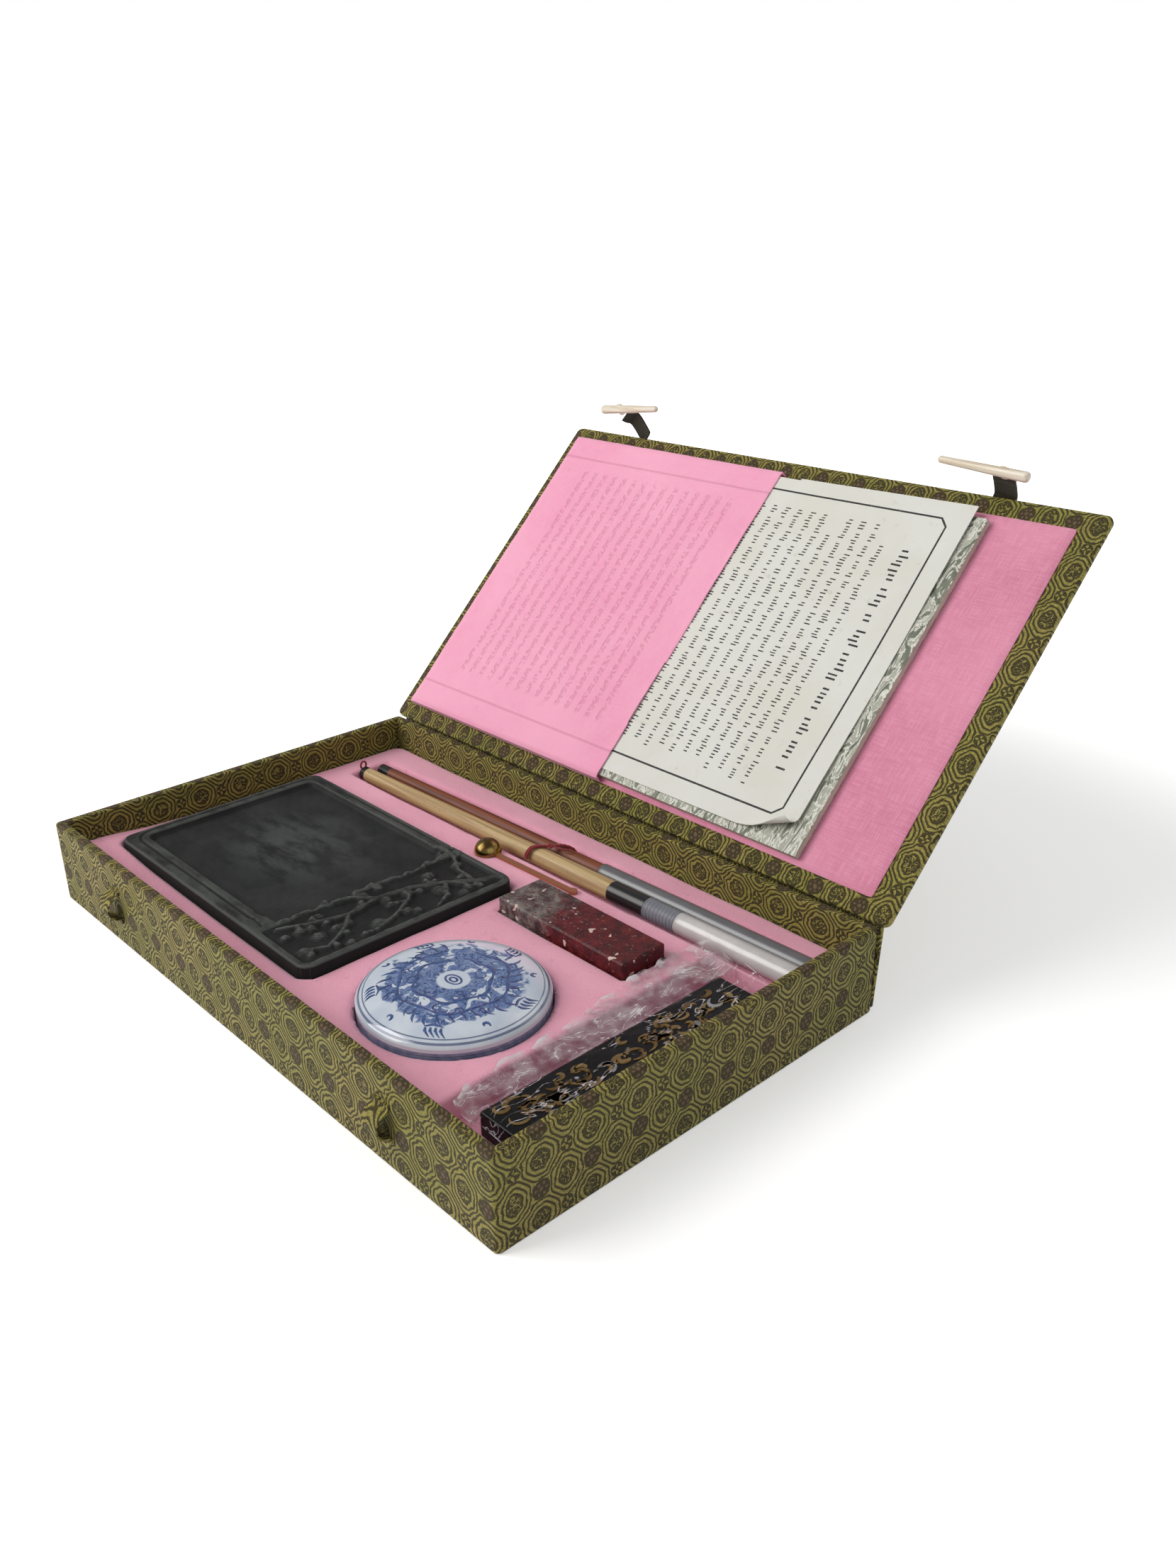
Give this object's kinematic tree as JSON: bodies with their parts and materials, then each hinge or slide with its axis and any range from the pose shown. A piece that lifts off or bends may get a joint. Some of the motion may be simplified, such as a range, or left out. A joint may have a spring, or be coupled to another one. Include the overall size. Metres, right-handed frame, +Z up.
{
  "type": "calligraphy set box",
  "caption": "Cloth-covered box with a folding lid and peg fastenings, holding brushes, ink stick, inkstone, seal, paste box and water spoon in a fitted tray.",
  "frame": {"origin": "centre of the tray's underside, on the surface that the box stands on", "axes": "+X along the box, +Y towards the lid's hinge, +Z up"},
  "size_m": [0.2848, 0.3003, 0.1719],
  "materials": {
    "brocade": "woven brocade, olive and brown",
    "pink_cloth": "pink cloth",
    "pink_flock": "pink flocked block",
    "grey_card": "binder's board",
    "lining_paper": "plain paper",
    "white_paper": "off-white paper",
    "pad_sheets": "edges of stacked sheets",
    "pad_cover": "grey-green marbled paper",
    "slate": "dark slate, rubbed",
    "seal_stone": "mottled grey and dark red",
    "porcelain": "white glaze, blue painting",
    "cinnabar": "thick red paste",
    "ink": "pressed soot, satin",
    "cellophane": "clear crinkled film",
    "bamboo": "varnished bamboo",
    "red_wood": "red-brown varnished wood",
    "black_plastic": "black, glossy",
    "hair": "white hair",
    "clear_plastic": "clear tube",
    "red_thread": "dark red twisted thread",
    "brass": "polished",
    "copper_strip": "worn strip",
    "bone": "bone, polished"
  },
  "bodies": {
    "tray": {"base_paper": "lining_paper", "base_board": "grey_card", "front_wall": "grey_card", "back_wall": "grey_card", "left_wall": "grey_card", "right_wall": "grey_card", "tray_brocade": "brocade", "insert": "pink_flock", "peg_loop_left": "brocade", "peg_loop_right": "brocade"},
    "spine": {"spine_board": "grey_card", "spine_brocade": "brocade"},
    "lid": {"lid_board": "grey_card", "lid_brocade": "brocade", "lining_card": "grey_card", "lining_cloth": "pink_cloth", "pocket": "pink_cloth"},
    "leaflet": {"leaflet": "white_paper"},
    "pad": {"pad_paper": "pad_sheets", "pad_cover": "pad_cover"},
    "tape_left": {"tape_left": "brocade"},
    "tape_right": {"tape_right": "brocade"},
    "peg_left": {"peg_left": "bone"},
    "peg_right": {"peg_right": "bone"},
    "inkstone": {"inkstone": "slate"},
    "brushes": {"brush_a_tail_cap": "black_plastic", "brush_a_handle": "bamboo", "brush_a_ferrule": "black_plastic", "brush_a_hair": "hair", "brush_a_cap": "clear_plastic", "brush_b_tail_cap": "black_plastic", "brush_b_handle": "red_wood", "brush_b_ferrule": "black_plastic", "brush_b_hair": "hair", "brush_b_cap": "clear_plastic", "brush_a_loop": "red_thread", "brush_tie": "red_thread"},
    "spoon": {"spoon_bowl": "brass", "spoon_handle": "copper_strip"},
    "seal": {"seal_stone": "seal_stone"},
    "paste_base": {"paste_box_base": "porcelain", "seal_paste": "cinnabar"},
    "paste_lid": {"paste_box_lid": "porcelain"},
    "ink": {"ink_stick": "ink", "ink_stick_sleeve": "cellophane"}
  },
  "joints": [
    {"name": "spine_hinge", "type": "hinge", "parent": "tray", "child": "spine", "pos_m": [0, 0.0861, 0.0006], "axis": [-1, 0, 0], "range_deg": [-5.01, 2.01]},
    {"name": "lid_hinge", "type": "hinge", "parent": "spine", "child": "lid", "pos_m": [0, 0.08719, 0.0352], "axis": [-1, 0, 0], "range_deg": [-130.4, 52]},
    {"name": "leaflet_slide", "type": "slide", "parent": "lid", "child": "leaflet", "axis": [1, 0, 0], "range_m": [0, 0.14]},
    {"name": "pad_slide", "type": "slide", "parent": "lid", "child": "pad", "axis": [1, 0, 0], "range_m": [0, 0.14]},
    {"name": "tape_left_fold", "type": "hinge", "parent": "lid", "child": "tape_left", "pos_m": [-0.097, 0.20955, 0.15482], "axis": [1, 0, 0], "range_deg": [-130, 22]},
    {"name": "tape_right_fold", "type": "hinge", "parent": "lid", "child": "tape_right", "pos_m": [0.097, 0.20955, 0.15482], "axis": [1, 0, 0], "range_deg": [-140, 13]},
    {"name": "peg_left_swivel", "type": "hinge", "parent": "tape_left", "child": "peg_left", "pos_m": [-0.1088, 0.20433, 0.16781], "axis": [0, -0.9278, -0.373], "range_deg": [-18, 22]},
    {"name": "peg_right_swivel", "type": "hinge", "parent": "tape_right", "child": "peg_right", "pos_m": [0.0993, 0.20284, 0.16572], "axis": [0, -0.8517, -0.524], "range_deg": [-18, 18]},
    {"name": "inkstone_lift", "type": "slide", "parent": "tray", "child": "inkstone", "axis": [0, 0, 1], "range_m": [0, 0.05]},
    {"name": "brushes_lift", "type": "slide", "parent": "tray", "child": "brushes", "axis": [0, 0, 1], "range_m": [0, 0.04]},
    {"name": "spoon_lift", "type": "slide", "parent": "tray", "child": "spoon", "axis": [0, 0, 1], "range_m": [0, 0.03]},
    {"name": "seal_lift", "type": "slide", "parent": "tray", "child": "seal", "axis": [0, 0, 1], "range_m": [0, 0.05]},
    {"name": "paste_box_lift", "type": "slide", "parent": "tray", "child": "paste_base", "axis": [0, 0, 1], "range_m": [0, 0.05]},
    {"name": "paste_lid_lift", "type": "slide", "parent": "paste_base", "child": "paste_lid", "axis": [0, 0, 1], "range_m": [0, 0.03]},
    {"name": "ink_stick_lift", "type": "slide", "parent": "tray", "child": "ink", "axis": [0, 0, 1], "range_m": [0, 0.05]}
  ],
  "couplings": [
    {"joint": "spine_hinge", "follows": "lid_hinge", "ratio": 0.038344}
  ]
}
